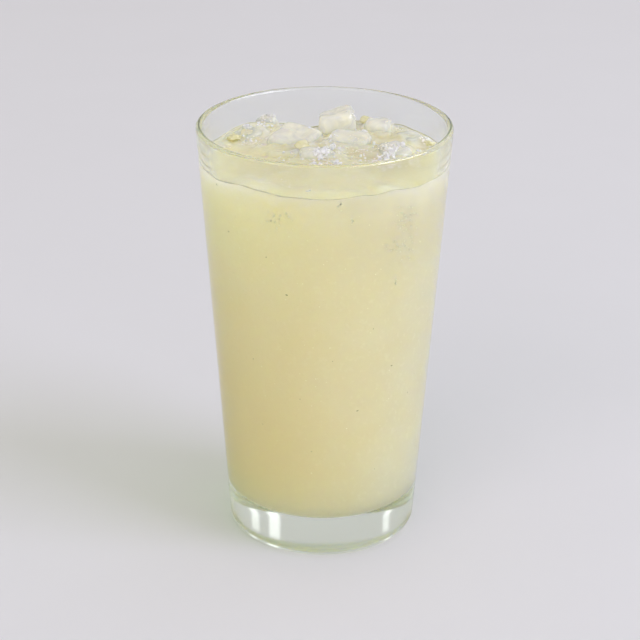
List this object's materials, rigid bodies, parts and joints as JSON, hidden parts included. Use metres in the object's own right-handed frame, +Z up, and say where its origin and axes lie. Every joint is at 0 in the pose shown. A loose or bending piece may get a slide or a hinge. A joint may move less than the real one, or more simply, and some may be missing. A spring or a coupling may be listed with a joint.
{
  "type": "glass of agua fresca",
  "caption": "Tall tapered clear tumbler with a heavy base, full of cloudy pale yellow-green fruit water with half-melted ice standing out of its surface.",
  "frame": {"origin": "centre of the glass's foot, on the surface it stands on", "axes": "+Z up along the glass's axis; -Y is the side nearest the viewer in the picture, +X to the viewer's right"},
  "size_m": [0.0808, 0.0808, 0.14],
  "materials": {
    "clear_glass": "clear, smooth, with a faint grey-green tint at its thick edges",
    "cloudy_drink": "cloudy pale yellow-green fruit water with fine pulp, wet",
    "wet_ice": "half-melted wet ice, clear to milky, tinted by the drink"
  },
  "bodies": {
    "root": {"glass": "clear_glass", "drink": "cloudy_drink", "ice_left": "wet_ice", "ice_left_back": "wet_ice", "ice_far_left": "wet_ice", "ice_back": "wet_ice", "ice_back_right": "wet_ice", "ice_middle": "wet_ice", "ice_front": "wet_ice", "ice_right": "wet_ice", "ice_far_right": "wet_ice"}
  },
  "joints": []
}
